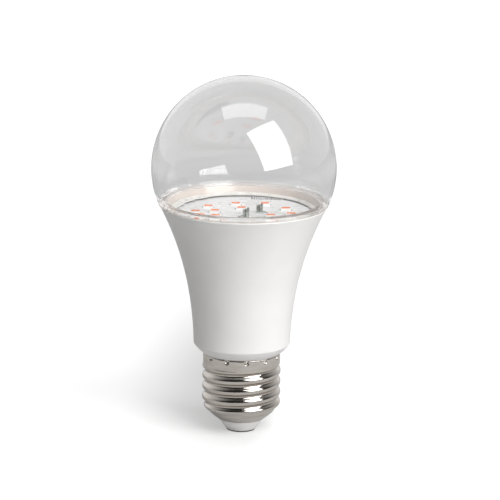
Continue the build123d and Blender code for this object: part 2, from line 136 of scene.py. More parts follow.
world = bpy.data.worlds.new("studio")
world.use_nodes = True
world.cycles.sampling_method = "NONE"
scene.world = world
tree = world.node_tree
path = add(tree, "LightPath").outputs
way = add(tree, "TexCoord").outputs["Generated"]
height = add(tree, "SeparateXYZ", {0: way}).outputs["Z"]
above = add(tree, "Math", {0: height, 1: 0.0}, operation="MAXIMUM")
above = add(tree, "Math", {0: above.outputs[0], 1: SKY_NARROWING}, operation="POWER")
sky = add(tree, "Math", {0: above.outputs[0], 1: SKY_ABOVE}, operation="MULTIPLY")
dark_way = (math.sin(ROOM_FRONT), -math.cos(ROOM_FRONT), 0.0)
facing = add(tree, "VectorMath", {0: way, 1: dark_way}, operation="DOT_PRODUCT")
aside = add(tree, "MapRange", {0: facing.outputs["Value"], 1: DARK_FACING, 2: LIGHT_FACING})
aside = add(tree, "Math", {0: aside.outputs[0], 1: ROOM_RISE}, operation="POWER")
room = add(tree, "Math", {0: aside.outputs[0], 1: ROOM_LIGHT, 2: ROOM_DARK}, operation="MULTIPLY_ADD")
light = add(tree, "Mix", {0: path["Is Glossy Ray"], 2: sky.outputs[0], 3: room.outputs[0]})
light = add(tree, "Mix", {0: path["Is Transmission Ray"], 2: light.outputs[0], 3: THROUGH_GLASS})
light = add(tree, "Mix", {0: path["Is Camera Ray"], 2: light.outputs[0], 3: 1.0})
tree.links.new(light.outputs[0], tree.nodes["Background"].inputs["Strength"])
tree.nodes["Background"].inputs["Color"].default_value = (1, 1, 1, 1)

# %% [markdown]
# The floor.
#
# A real white table would need far more light than the lamp to look pure white. Instead the floor
# gets a little glow for the rays that come straight from the camera, from polished metal or through
# the glass, and keeps its plain diffuse side for the light that falls on it, so the shadow stays.
# The glow is stronger outside an oval, where the photograph's shadow ends. Shifting the places by
# 75 mm puts the oval's middle behind the lamp, and the oval is narrower on the right, on the side
# of the key lamp.

# %% Floor
FLOOR_SIZE = 4.0
FLOOR_Z = -0.01 * MM
FLOOR_COLOUR = "#BCBCBC"
FLOOR_GLOW = 0.17
FLOOR_GLOW_FAR = 0.64
FLOOR_GLOW_END = 0.95
FLOOR_GLASS = 0.22
FLOOR_GLASS_FAR = 0.46
FLOOR_GLOSS = 0.10
FLOOR_GLOSS_FAR = 0.30
FLOOR_BOUNCE = 0.16
FLOOR_BOUNCE_FAR = 0.035
BOUNCE_NEAR = 0.02
BOUNCE_FAR = 0.10
SHADOW_SHIFT = (0, -75 * MM, 0)
SHADOW_SQUEEZE = (1, 0.3, 1)
SHADOW_RIGHT = 2.5
SHADOW_END = 0.048
GLASS_NEAR = 0.28
GLASS_FAR = 0.52

corners = np.array([(-1, -1), (1, -1), (1, 1), (-1, 1)]) * FLOOR_SIZE
floor_points = [(x, y, FLOOR_Z) for x, y in corners]
floor_mesh = bpy.data.meshes.new("floor")
floor_mesh.from_pydata(floor_points, [], [(0, 1, 2, 3)])
floor = bpy.data.objects.new("floor", floor_mesh)
scene.collection.objects.link(floor)
paper = bpy.data.materials.new("white_paper")
paper.use_nodes = True
paper.cycles.emission_sampling = "NONE"
tree = paper.node_tree
tree.nodes.clear()
path = add(tree, "LightPath").outputs
here = add(tree, "TexCoord").outputs["Object"]
away = add(tree, "VectorMath", {0: here}, operation="LENGTH").outputs["Value"]
# Painted shadow: the glow that the camera sees is weakest inside this oval and rises towards its edge, so
# the floor greys round the lamp's foot, and the real shadow shows only there.
shifted = {"Vector": here, "Location": SHADOW_SHIFT}
shifted = add(tree, "Mapping", shifted).outputs[0]
squeezed = add(tree, "VectorMath", {0: shifted, 1: SHADOW_SQUEEZE}, operation="MULTIPLY")
parts = add(tree, "SeparateXYZ", {0: squeezed.outputs[0]}).outputs
left = add(tree, "Math", {0: parts["X"], 1: -1.0}, operation="MULTIPLY")
aside = add(tree, "Math", {0: parts["X"], 1: SHADOW_RIGHT}, operation="MULTIPLY")
aside = add(tree, "Math", {0: left.outputs[0], 1: aside.outputs[0]}, operation="MAXIMUM")
oval = add(tree, "CombineXYZ", {0: aside.outputs[0], 1: parts["Y"]})
outside = add(tree, "VectorMath", {0: oval.outputs[0]}, operation="LENGTH").outputs["Value"]
fading = add(tree, "MapRange", {0: outside, 2: SHADOW_END}, interpolation_type="SMOOTHSTEP")
far = add(tree, "MapRange", {0: away, 1: GLASS_NEAR, 2: GLASS_FAR}, interpolation_type="SMOOTHSTEP")
rising = add(tree, "Mix", {0: far.outputs[0], 2: FLOOR_GLOW_FAR, 3: FLOOR_GLOW_END})
seen = add(tree, "Mix", {0: fading.outputs[0], 2: FLOOR_GLOW, 3: rising.outputs[0]})
through = add(tree, "Mix", {0: far.outputs[0], 2: FLOOR_GLASS, 3: FLOOR_GLASS_FAR})
mirrored = add(tree, "Mix", {0: far.outputs[0], 2: FLOOR_GLOSS, 3: FLOOR_GLOSS_FAR})
# Painted bounce light: near the lamp the floor also glows for diffuse rays, which lightens the housing's
# underside.
falling = {0: away, 1: BOUNCE_NEAR, 2: BOUNCE_FAR, 3: FLOOR_BOUNCE, 4: FLOOR_BOUNCE_FAR}
bounced = add(tree, "MapRange", falling)
glow = add(tree, "Mix", {0: path["Is Glossy Ray"], 2: bounced.outputs[0], 3: mirrored.outputs[0]})
glow = add(tree, "Mix", {0: path["Is Transmission Ray"], 2: glow.outputs[0], 3: through.outputs[0]})
glow = add(tree, "Mix", {0: path["Is Camera Ray"], 2: glow.outputs[0], 3: seen.outputs[0]})
matt = add(tree, "BsdfDiffuse", {"Color": linear(FLOOR_COLOUR)})
shine = add(tree, "Emission", {"Strength": glow.outputs[0]})
both = add(tree, "AddShader", {0: matt.outputs[0], 1: shine.outputs[0]})
add(tree, "OutputMaterial", {"Surface": both.outputs[0]})
floor_mesh.materials.append(paper)

# %% [markdown]
# The key lamp.
#
# Its mirror image in the clear globe tells where it was: a tall softbox to the right of the camera
# and above it. Traced back from the corners of that image, it is about as tall as it is far away. One
# large area lamp there gives the shading of the housing, the soft shadow to the left, and the two
# bright panes in the globe, with no trick in the material.

# %% Key lamp
KEY_AZIMUTH = math.radians(42.5)
KEY_ELEVATION = math.radians(35.6)
KEY_DISTANCE = 0.75
KEY_WIDTH = 0.568
KEY_HEIGHT = 0.755
KEY_ROLL = math.radians(4.5)
KEY_POWER = 6.5
GLOBE_CENTRE = Vector((0, 0, 89.62)) * MM

key = bpy.data.lights.new("softbox", "AREA")
key.shape = "RECTANGLE"
key.size = KEY_WIDTH
key.size_y = KEY_HEIGHT
key.energy = KEY_POWER
key_object = bpy.data.objects.new("softbox", key)
key_way = Vector(
    (
        math.sin(KEY_AZIMUTH) * math.cos(KEY_ELEVATION),
        -math.cos(KEY_AZIMUTH) * math.cos(KEY_ELEVATION),
        math.sin(KEY_ELEVATION),
    )
)
key_level = Vector((math.cos(KEY_AZIMUTH), math.sin(KEY_AZIMUTH), 0))
key_upward = key_way.cross(key_level)
key_x = key_level * math.cos(KEY_ROLL) + key_upward * math.sin(KEY_ROLL)
key_y = key_upward * math.cos(KEY_ROLL) - key_level * math.sin(KEY_ROLL)
key_turn = Matrix((key_x, key_y, key_way)).transposed().to_4x4()
key_object.matrix_world = Matrix.Translation(GLOBE_CENTRE + key_way * KEY_DISTANCE) @ key_turn
scene.collection.objects.link(key_object)

# %% [markdown]
# The ceiling strip.
#
# The pale rectangle high on the globe is the image of something long straight above the lamp, such
# as a strip of ceiling light. Its size follows in the same way from the image's corners. It fills the
# tops softly and keeps the shadow close to the foot.

# %% Ceiling strip
STRIP_HEIGHT = 0.60
STRIP_LENGTH = 0.47
STRIP_WIDTH = 0.225
STRIP_BACK = -0.024
STRIP_POWER = 0.62

strip = bpy.data.lights.new("ceiling_strip", "AREA")
strip.shape = "RECTANGLE"
strip.size = STRIP_LENGTH
strip.size_y = STRIP_WIDTH
strip.energy = STRIP_POWER
strip_object = bpy.data.objects.new("ceiling_strip", strip)
strip_object.location = GLOBE_CENTRE + Vector((0, STRIP_BACK, STRIP_HEIGHT))
scene.collection.objects.link(strip_object)

# %% [markdown]
# The fill.
#
# The shadow reaches further back than the key lamp alone would throw it, so a weak light came from
# nearly behind the camera. It is a reflector too dim to show in the globe, so its mirror image
# is switched off.

# %% Fill
FILL_AZIMUTH = math.radians(14)
FILL_ELEVATION = math.radians(38)
FILL_DISTANCE = 0.80
FILL_SIZE = 0.35
FILL_POWER = 0.5

fill = bpy.data.lights.new("fill", "AREA")
fill.shape = "DISK"
fill.size = FILL_SIZE
fill.energy = FILL_POWER
fill_object = bpy.data.objects.new("fill", fill)
fill_level = math.cos(FILL_ELEVATION)
fill_way = Vector(
    (
        math.sin(FILL_AZIMUTH) * fill_level,
        -math.cos(FILL_AZIMUTH) * fill_level,
        math.sin(FILL_ELEVATION),
    )
)
fill_object.location = AIM + fill_way * FILL_DISTANCE
fill_object.rotation_euler = fill_way.to_track_quat("Z", "Y").to_euler()
fill_object.visible_glossy = False
fill_object.visible_transmission = False
scene.collection.objects.link(fill_object)

# %% [markdown]
# Finishes that share one recipe.
#
# Most real surfaces are one colour with soft patches of a near one, a gloss that wanders a little, and
# a fine grain. Two noises give these, one for the patches and the gloss and one for the grain, at sizes
# in real millimetres: Object coordinates are in metres, so they are multiplied by a thousand first.
# Constant values sit on the shader's own sockets.


# %% The shared recipe
PATCH_EDGES = (0.35, 0.65)


def millimetres(tree, stretch=(1, 1, 1)):
    """Object coordinates in millimetres, multiplied along each axis by stretch."""
    coordinates = add(tree, "TexCoord").outputs["Object"]
    scale = [1 / MM * s for s in stretch]
    return add(tree, "Mapping", {"Vector": coordinates, "Scale": scale}).outputs[0]


def finish(name, colours, rough, patch, grain, metallic=0.0, stretch=(1, 1, 1), **sockets):
    """Material from two hex colours, the lowest and highest roughness, the size of the patches in mm,
    and the grain as its size and height in mm."""
    material = bpy.data.materials.new(name)
    material.use_nodes = True
    tree = material.node_tree
    shader = tree.nodes["Principled BSDF"]
    shader.inputs["Metallic"].default_value = metallic
    for socket, value in sockets.items():
        shader.inputs[socket.replace("_", " ")].default_value = value
    where = millimetres(tree, stretch)
    patches = add(tree, "TexNoise", {"Vector": where, "Scale": 1 / patch, "Detail": 4.0})
    spread = add(tree, "MapRange", {0: patches.outputs[0], 1: PATCH_EDGES[0], 2: PATCH_EDGES[1]})
    pair = {0: spread.outputs[0], 6: linear(colours[0]), 7: linear(colours[1])}
    mixed = add(tree, "Mix", pair, data_type="RGBA")
    tree.links.new(mixed.outputs[2], shader.inputs["Base Color"])
    gloss = add(tree, "MapRange", {0: spread.outputs[0], 3: rough[0], 4: rough[1]})
    tree.links.new(gloss.outputs[0], shader.inputs["Roughness"])
    size, height = grain
    fine = add(tree, "TexNoise", {"Vector": where, "Scale": 1 / size, "Detail": 2.0})
    bump = add(tree, "Bump", {"Height": fine.outputs[0], "Distance": height * MM})
    tree.links.new(bump.outputs[0], shader.inputs["Normal"])
    return material


def paint(material, *names):
    """Gives the material to CAD nodes, whose mesh and place stay as packed."""
    for name in names:
        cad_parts[name].material_slots[0].material = material
    print(material.name, "on", len(names), "nodes")


# %% [markdown]
# The moulded housing.
#
# On the real lamp it is a white thermoplastic, probably PBT, moulded over or around the aluminium
# cup. It leaves the tool with a very fine satin surface: light spreads softly over it and shows no
# texture from a step away. The CAD solid has the right curve and smooth normals, so it stays.

# %% Housing
paint(
    finish(
        "moulded_white_pbt",
        colours=("#EBEAE8", "#EFEEEC"),
        rough=(0.36, 0.46),
        patch=14.0,
        grain=(0.25, 0.006),
        IOR=1.5,
    ),
    "housing_shell",
)

# %% [markdown]
# Surfaces from arrays.
#
# A turned piece is a profile of radius and height that goes round the axis. As an array it is one row
# of points for each place on the profile. Corners that a tool leaves round are rounded in the
# profile itself, because a bevel on a turned mesh would give less even faces.


# %% Helpers for surfaces
def rounded(corners, cuts, steps=6):
    """Path with its corners rounded. Near a corner P it follows (1-t)^2 A + 2t(1-t) P + t^2 B, where
    A and B lie on the two sides at the cut's distance from P."""
    path = np.asarray(corners, float)
    middle = path[1:-1]
    back = path[:-2] - middle
    on = path[2:] - middle
    reach = np.asarray(cuts, float)[:, None]
    a = middle + back / np.linalg.norm(back, axis=1, keepdims=True) * reach
    b = middle + on / np.linalg.norm(on, axis=1, keepdims=True) * reach
    t = np.linspace(0, 1, steps)[None, :, None]
    bends = (1 - t) ** 2 * a[:, None] + 2 * t * (1 - t) * middle[:, None] + t**2 * b[:, None]
    return np.vstack([path[:1], bends.reshape(-1, 2), path[-1:]])


def ring_faces(rows, columns, closed):
    """Corner numbers of the quads of a grid that closes round its columns, and also from its last row
    to its first when closed. Corner (row, column) is number row * columns + column."""
    row = np.arange(rows if closed else rows - 1)[:, None]
    column = np.arange(columns)[None, :]
    above = (row + 1) % rows
    beside = (column + 1) % columns
    corners = np.broadcast_arrays(
        row * columns + column,
        row * columns + beside,
        above * columns + beside,
        above * columns + column,
    )
    return np.stack(corners, axis=-1).reshape(-1, 4)


def cap_faces(first, pole, columns, flip):
    """Triangles from a ring of points, numbered from first, to its pole."""
    column = np.arange(columns)
    beside = (column + 1) % columns
    order = (beside, column) if flip else (column, beside)
    return np.stack([first + order[0], first + order[1], np.full(columns, pole)], axis=-1)


def spun(profile, columns):
    """Points of a profile of radius and height turned about Z: (r cos a, r sin a, z) for even angles a."""
    angle = 2 * np.pi * np.arange(columns) / columns
    radius, height = profile[:, 0, None], profile[:, 1, None]
    level = np.broadcast_to(height, (len(profile), columns))
    return np.stack([radius * np.cos(angle), radius * np.sin(angle), level], axis=-1)


def piece(name, points, faces, material, stands_for=(), sharp=40):
    """New object at the origin from points in mm and faces, with a material, riding on the lamp."""
    mesh = bpy.data.meshes.new(name)
    mesh.from_pydata((points.reshape(-1, 3) * MM).tolist(), [], faces)
    mesh.shade_smooth()
    mesh.set_sharp_from_angle(angle=math.radians(sharp))
    mesh.materials.append(material)
    thing = bpy.data.objects.new(name, mesh)
    scene.collection.objects.link(thing)
    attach(thing, "root")
    if stands_for:
        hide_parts(*stands_for)
    print(name, len(mesh.vertices), "points,", len(mesh.polygons), "faces")
    return thing


# %% [markdown]
# The sizes that the CAD source gives.
#
# A surface that stands for a CAD node must keep its form, so it follows the same formulas and the
# same numbers, in millimetres. They are repeated here, because this script can't read that source.

# %% Sizes of the lamp
WALL = 1.40
FIT = 0.05
SHOULDER_R = 16.10
SHOULDER_Z = 30.15
BOWL_HEIGHT = 47.15
BOWL_BEND = (0.04, 0.31)
RIM_R = 27.87
RIM_Z = SHOULDER_Z + BOWL_HEIGHT
BOARD_Z = RIM_Z - 2.8
SPIGOT_Z = RIM_Z - 2.0
SPIGOT_WALL = 1.15


def bowl_radius(z):
    """The bowl's outer radius: SHOULDER_R + share * (RIM_R - SHOULDER_R), where share is the cubic
    3 (1-t)^2 t p + 3 (1-t) t^2 q + t^3 of t, the part of the bowl's height that lies below z, and p
    and q are the two values of BOWL_BEND."""
    t = (np.asarray(z, float) - SHOULDER_Z) / BOWL_HEIGHT
    share = 3 * (1 - t) ** 2 * t * BOWL_BEND[0] + 3 * (1 - t) * t**2 * BOWL_BEND[1] + t**3
    return SHOULDER_R + share * (RIM_R - SHOULDER_R)


# %% [markdown]
# The clear globe.
#
# It is blown or injection-moulded polycarbonate: a thin wall, and a thick bead at the neck where it
# plugs into the bowl. A sphere primitive has no wall, so glass on it would act as a solid ball. The
# profile here runs down the inside, round the spigot and up the outside, and closes at both
# poles. The wall then bends light as little as the real one does. Its two arcs stop a small angle
# in radians short of the neck, which leaves room for the rounded corners there.

# %% Globe
GLOBE_R = 30.68
GLOBE_WALL = 1.10
GLOBE_SEAT_R = RIM_R + 0.25
GLOBE_SEAT_Z = RIM_Z + FIT
GLOBE_Z = GLOBE_SEAT_Z + math.sqrt(GLOBE_R**2 - GLOBE_SEAT_R**2)
BEAD_Z = RIM_Z + 1.8
BEAD_TOP_Z = BEAD_Z + WALL
BEAD_SLOPE = 0.6
THROAT_R = RIM_R - WALL - FIT - SPIGOT_WALL
NECK_CUTS = (0.7, 0.7, 0.5, 0.2, 0.3, 0.08, 0.08)
INNER_CORNER = 0.03
OUTER_CORNER = 0.008
INNER_STEPS = 70
OUTER_STEPS = 80
GLOBE_COLUMNS = 256


def ball_arc(radius, start, end, steps):
    """Part of a circle round the globe's centre: (R sin a, z + R cos a) from one angle to another."""
    a = np.linspace(start, end, steps)
    return np.stack([radius * np.sin(a), GLOBE_Z + radius * np.cos(a)], axis=-1)


inner_r = GLOBE_R - GLOBE_WALL
inner_end = math.acos((BEAD_TOP_Z - GLOBE_Z) / inner_r)
outer_end = math.acos((GLOBE_SEAT_Z - GLOBE_Z) / GLOBE_R)
inside = ball_arc(inner_r, 0, inner_end - INNER_CORNER, INNER_STEPS)
outside = ball_arc(GLOBE_R, outer_end - OUTER_CORNER, 0, OUTER_STEPS)
foot_outer = bowl_radius(SPIGOT_Z) - WALL - FIT
neck_corners = [
    inside[-1],
    (inner_r * math.sin(inner_end), BEAD_TOP_Z),
    (THROAT_R + BEAD_SLOPE, BEAD_Z),
    (THROAT_R, RIM_Z),
    (foot_outer - SPIGOT_WALL, SPIGOT_Z),
    (foot_outer, SPIGOT_Z),
    (RIM_R - WALL - FIT, GLOBE_SEAT_Z),
    (GLOBE_SEAT_R, GLOBE_SEAT_Z),
    outside[0],
]
neck = rounded(neck_corners, NECK_CUTS)
profile = np.vstack([inside[1:], neck[1:-1], outside[:-1]])
rings = spun(profile, GLOBE_COLUMNS)
poles = [(0, 0, GLOBE_Z + inner_r), (0, 0, GLOBE_Z + GLOBE_R)]
points = np.vstack([rings.reshape(-1, 3), poles])
count = len(profile) * GLOBE_COLUMNS
faces = ring_faces(len(profile), GLOBE_COLUMNS, closed=False).tolist()
faces += cap_faces(0, count, GLOBE_COLUMNS, flip=True).tolist()
faces += cap_faces(count - GLOBE_COLUMNS, count + 1, GLOBE_COLUMNS, flip=False).tolist()

# %% [markdown]
# Clear polycarbonate.
#
# Its surface is polished by the tool, so it has no roughness and an index of 1.585. A renderer
# would have to find the lamp through two refracting walls by luck, which is slow and noisy, so rays from
# lamps and diffuse rays pass straight through a tinted Transparent shader instead. In the neck the
# glue behind the plastic makes it look milky, so less of the light goes through there. The bead of
# the solid reaches a little higher than the photograph's, so its top hardly bends the view here.

# %% Globe material
MILKY_NECK = 0.55
MILKY_TOP_Z = RIM_Z + 1.1
MILKY_FULL_Z = RIM_Z + 0.1
CLEAR_FOOT_Z = RIM_Z + 1.3
CLEAR_TOP_Z = BEAD_TOP_Z + 1.0
CLEAR_SHARE = 0.9
CLEAR_RISE = 0.5
CLEAR_FALL = 0.6
RIPPLE_SIZE = 9.0
RIPPLE_HEIGHT = 0.02 * MM

clear = bpy.data.materials.new("clear_polycarbonate")
clear.use_nodes = True
tree = clear.node_tree
shader = tree.nodes["Principled BSDF"]
shader.inputs["IOR"].default_value = 1.585
shader.inputs["Roughness"].default_value = 0.0
where = millimetres(tree)
height = add(tree, "SeparateXYZ", {0: where}).outputs["Z"]
neckward = add(tree, "MapRange", {0: height, 1: MILKY_TOP_Z, 2: MILKY_FULL_Z})
tint = {0: neckward.outputs[0], 6: linear("#F6F6F6"), 7: linear("#EADFD7")}
tinted = add(tree, "Mix", tint, data_type="RGBA")
tree.links.new(tinted.outputs[2], shader.inputs["Base Color"])
clearness = add(tree, "MapRange", {0: neckward.outputs[0], 3: 1.0, 4: MILKY_NECK})
tree.links.new(clearness.outputs[0], shader.inputs["Transmission Weight"])
ripple = add(tree, "TexNoise", {"Vector": where, "Scale": 1 / RIPPLE_SIZE, "Detail": 1.0})
bump = add(tree, "Bump", {"Height": ripple.outputs[0], "Distance": RIPPLE_HEIGHT})
tree.links.new(bump.outputs[0], shader.inputs["Normal"])
path = add(tree, "LightPath").outputs
passing = add(tree, "Math", {0: path["Is Shadow Ray"], 1: path["Is Diffuse Ray"]}, operation="MAXIMUM")
rising = add(tree, "MapRange", {0: height, 1: CLEAR_FOOT_Z, 2: CLEAR_FOOT_Z + CLEAR_RISE, 4: CLEAR_SHARE})
falling = add(tree, "MapRange", {0: height, 1: CLEAR_TOP_Z, 2: CLEAR_TOP_Z - CLEAR_FALL, 4: CLEAR_SHARE})
band = add(tree, "Math", {0: rising.outputs[0], 1: falling.outputs[0]}, operation="MINIMUM")
passing = add(tree, "Math", {0: passing.outputs[0], 1: band.outputs[0]}, operation="MAXIMUM")
window = add(tree, "BsdfTransparent", {"Color": linear("#FAFAFA")})
sides = {0: passing.outputs[0], 1: shader.outputs[0], 2: window.outputs[0]}
glass = add(tree, "MixShader", sides)
tree.links.new(glass.outputs[0], tree.nodes["Material Output"].inputs["Surface"])
piece("clear_globe", points, faces, clear, ["globe"])

# %% [markdown]
# The screw shell.
#
# The real shell is thin brass, rolled into the round rope thread between two dies and plated with
# nickel. Its collar is punched into the plastic neck at twelve points. Polished metal shows every
# facet of a mesh, so the shell is worked out on a fine grid. At each height its section is a circle
# whose middle goes round the axis once per pitch, which gives the thread its round crests and roots.

# %% Screw shell
SHEET = 0.30
COLLAR_R = 12.88
CREST_R = 13.10
ROOT_R = 12.10
PITCH = 3.629
PHASE_Z = 9.60
FOOT_R = 7.70
FOOT_Z = 4.00
CONE_HEIGHT = 6.0
CONE_BULGE = 1.8
THREAD_FOOT_Z = FOOT_Z + 2.1
COLLAR_Z = FOOT_Z + 19.4
RUN_IN = 2.8
RUNOUT = 1.6
SHELL_TOP_Z = COLLAR_Z + 3.55
EDGE_Z = SHELL_TOP_Z - 0.18
CREST_FULLNESS = 0.35
LIP_TURN = 0.06
LIP_HEIGHT = 0.42
STAKES = 12
STAKE_FRONT = math.radians(-90 + 8.0)
STAKE_Z = SHELL_TOP_Z - 0.85
STAKE_DEEP = 0.62
STAKE_WIDE = 0.64
STAKE_SHARE_INSIDE = 0.8
SLIT_DEEP = 0.40
SLIT_SHIFT = 0.1
SLIT_WIDE = 0.26
SLIT_START = 0.3
BURR_PLACE = (-0.55, 0.45)
BURR_SIZE = (0.3, 0.25)
BURR_PROUD = 0.12


def ease(share):
    """Step from 0 to 1 that starts and ends level: t^2 (3 - 2t), with t kept between 0 and 1."""
    t = np.clip(share, 0, 1)
    return t * t * (3 - 2 * t)


def shell_surface(angle, z, inset):
    """Radius of the shell at an angle and height. The mean circle has radius s(z) and its middle lies
    h(z) from the axis at the angle w(z), so with b = a - w the radius is
    h cos b + sqrt(s^2 - h^2 sin^2 b). A part of h sin^2 b is added, which makes the crests fuller.
    The lip at the collar's edge turns in a little, which gives the edge its thin bright line."""
    half = (CREST_R - ROOT_R) / 2
    rise = np.clip((z - FOOT_Z) / CONE_HEIGHT, 0, 1)
    fade = ease((z - COLLAR_Z + RUNOUT) / RUNOUT)
    mean = FOOT_R + (ROOT_R + half - FOOT_R) * (1 - (1 - rise) ** CONE_BULGE)
    mean = mean + (COLLAR_R - ROOT_R - half) * fade - inset
    shift = half * ease((z - THREAD_FOOT_Z) / RUN_IN) * (1 - fade)
    mean = mean - LIP_TURN * ease((z - EDGE_Z + LIP_HEIGHT) / LIP_HEIGHT)
    b = angle - 2 * np.pi * (z - PHASE_Z) / PITCH
    circle = shift * np.cos(b) + np.sqrt(mean**2 - (shift * np.sin(b)) ** 2)
    return circle + CREST_FULLNESS * shift * np.sin(b) ** 2


def stake_marks(angle, z):
    """Depth of the punched marks: a pit exp(-(d / w)^4), a slit from it up to the edge, and a thin
    burr of metal pushed up at its upper left, exp(-(x / w)^2 - (y / h)^2) round its own place."""
    pitch = 2 * np.pi / STAKES
    across = COLLAR_R * ((angle - STAKE_FRONT + pitch / 2) % pitch - pitch / 2)
    along = z - STAKE_Z
    pit = np.exp(-(((across**2 + along**2) / STAKE_WIDE**2) ** 2))
    slit = np.exp(-(((across - SLIT_SHIFT) / SLIT_WIDE) ** 2)) * ease(along / SLIT_START)
    burr_x = (across - BURR_PLACE[0]) / BURR_SIZE[0]
    burr_y = (along - BURR_PLACE[1]) / BURR_SIZE[1]
    burr = np.exp(-(burr_x**2) - burr_y**2)
    return STAKE_DEEP * pit + SLIT_DEEP * slit - BURR_PROUD * burr


THREAD_COLUMNS = 480
THREAD_ROWS = 115
PLAIN_ROWS = 3
STAKE_ROWS = 15
INNER_ROWS = 44
PLAIN_FOOT_Z = COLLAR_Z + 0.4
PLAIN_TOP_Z = STAKE_Z - 0.9
STAKE_FOOT_Z = STAKE_Z - 0.8
STAKE_TOP_Z = EDGE_Z - 0.1
EDGE_DROP = 0.03
EDGE_INSET = 0.09

angle = 2 * np.pi * np.arange(THREAD_COLUMNS)[None, :] / THREAD_COLUMNS
outer_z = np.concatenate(
    [
        np.linspace(FOOT_Z, COLLAR_Z, THREAD_ROWS),
        np.linspace(PLAIN_FOOT_Z, PLAIN_TOP_Z, PLAIN_ROWS),
        np.linspace(STAKE_FOOT_Z, STAKE_TOP_Z, STAKE_ROWS),
    ]
)[:, None]
edge_z = np.array([[EDGE_Z - EDGE_DROP], [EDGE_Z], [EDGE_Z], [EDGE_Z - EDGE_DROP]])
edge_inset = np.array([[EDGE_DROP], [EDGE_INSET], [SHEET - EDGE_INSET], [SHEET - EDGE_DROP]])
inner_z = np.linspace(STAKE_TOP_Z, FOOT_Z, INNER_ROWS)[:, None]
outer = shell_surface(angle, outer_z, 0) - stake_marks(angle, outer_z)
edge = shell_surface(angle, edge_z, edge_inset) - stake_marks(angle, edge_z)
inner = shell_surface(angle, inner_z, SHEET) - STAKE_SHARE_INSIDE * stake_marks(angle, inner_z)
radius = np.vstack([outer, edge, inner])
level = np.vstack([outer_z, edge_z, inner_z]) * np.ones((1, THREAD_COLUMNS))
points = np.stack([radius * np.cos(angle), radius * np.sin(angle), level], axis=-1)
faces = ring_faces(len(radius), THREAD_COLUMNS, closed=True).tolist()

# %% [markdown]
# Nickel plate.
#
# Nickel is a little yellow beside chrome. The shell is rolled, so its faint drawing marks run round
# it. The noise is squeezed along the height, which lays its grain in rings a tenth of a millimetre
# apart, drawn a bit coarse so that they show.

# %% Screw shell material
nickel = finish(
    "nickel_plated_brass",
    colours=("#C6BFB7", "#D3CDC6"),
    rough=(0.10, 0.18),
    patch=6.0,
    grain=(0.9, 0.008),
    metallic=1.0,
    stretch=(1, 1, 5),
)
piece("rolled_screw_shell", points, faces, nickel, ["screw_shell"], sharp=60)

# %% [markdown]
# The sealing bead.
#
# The globe is glued in with a milky silicone that squeezes out inside the spigot and sets in a
# slightly uneven ring. The solid in the CAD source is even, so its inner edge is drawn again
# with a slow wave in its reach and height. At the back left, between two angles in degrees from
# +X, it has spilled over the board, and its edge there is torn. Where it meets the board its foot
# is painted dark, a painted shade for the narrow gap under its edge.

# %% Silicone bead
GLUE_COLUMNS = 720
GLUE_FOOT_Z = BOARD_Z + 0.2
GLUE_BACK = 0.9
GLUE_REACH = 1.15
GLUE_WAVE = 0.2
SLOW_WAVES = [(5, 0.25, 0.6), (11, 0.15, 2.0), (17, 0.10, 0.0)]
TORN_WAVES = [(23, 0.28, 0.0), (41, 0.14, 1.0), (67, 0.08, 2.0)]
SPILL_FROM = 114
SPILL_TO = 180
SPILL_EDGE = 12
SPILL_REACH = 0.3
TORN_REACH = 1.7
SPILL_LIFT = 0.15
TORN_LIFT = 0.35
# Painted shade at the foot: it starts at the higher of these heights above the foot and is full at the
# lower.
PAINTED_SHADE_HEIGHT = 0.42
PAINTED_SHADE_FULL = 0.1


def waves(angle, terms):
    """One half plus, for each term of count, height and phase, height * sin(count * angle + phase)."""
    total = 0.5 + 0 * angle
    for count, height, phase in terms:
        total = total + height * np.sin(count * angle + phase)
    return total


silicone = finish(
    "milky_silicone",
    colours=("#DEDBD5", "#F0EEEA"),
    rough=(0.25, 0.4),
    patch=3.0,
    grain=(0.8, 0.03),
    IOR=1.41,
)
angle = 2 * np.pi * np.arange(GLUE_COLUMNS)[None, :] / GLUE_COLUMNS
wave = waves(angle, SLOW_WAVES)
torn = waves(angle, TORN_WAVES)
degrees = np.degrees(angle)
spill = ease((degrees - SPILL_FROM) / SPILL_EDGE) * ease((SPILL_TO - degrees) / SPILL_EDGE)
reach = GLUE_REACH + GLUE_WAVE * wave + spill * (SPILL_REACH + TORN_REACH * torn)
lift = spill * (SPILL_LIFT + TORN_LIFT * torn)
throat = float(bowl_radius(SPIGOT_Z)) - WALL - SPIGOT_WALL - 2 * FIT
glue_rows = [
    (throat, GLUE_FOOT_Z),
    (throat + GLUE_BACK, GLUE_FOOT_Z),
    (throat + GLUE_BACK, SPIGOT_Z - FIT),
    (throat, SPIGOT_Z - FIT),
    (throat, SPIGOT_Z + 0.35 + 0.2 * wave),
    (throat - 0.3 * reach, SPIGOT_Z + 0.05 + 0.2 * wave),
    (throat - 0.65 * reach, SPIGOT_Z - 0.25 + 0.15 * wave),
    (throat - 0.9 * reach, GLUE_FOOT_Z + 0.3 + 0.1 * wave + lift),
    (throat - reach, GLUE_FOOT_Z + 0.1 + lift),
]
flat = np.zeros_like(angle)
radius = np.vstack([row_radius + flat for row_radius, row_level in glue_rows])
level = np.vstack([row_level + flat for row_radius, row_level in glue_rows])
points = np.stack([radius * np.cos(angle), radius * np.sin(angle), level], axis=-1)
faces = ring_faces(len(radius), GLUE_COLUMNS, closed=True).tolist()
tree = silicone.node_tree
shader = tree.nodes["Principled BSDF"]
milky = shader.inputs["Base Color"].links[0].from_socket
height = add(tree, "SeparateXYZ", {0: millimetres(tree)}).outputs["Z"]
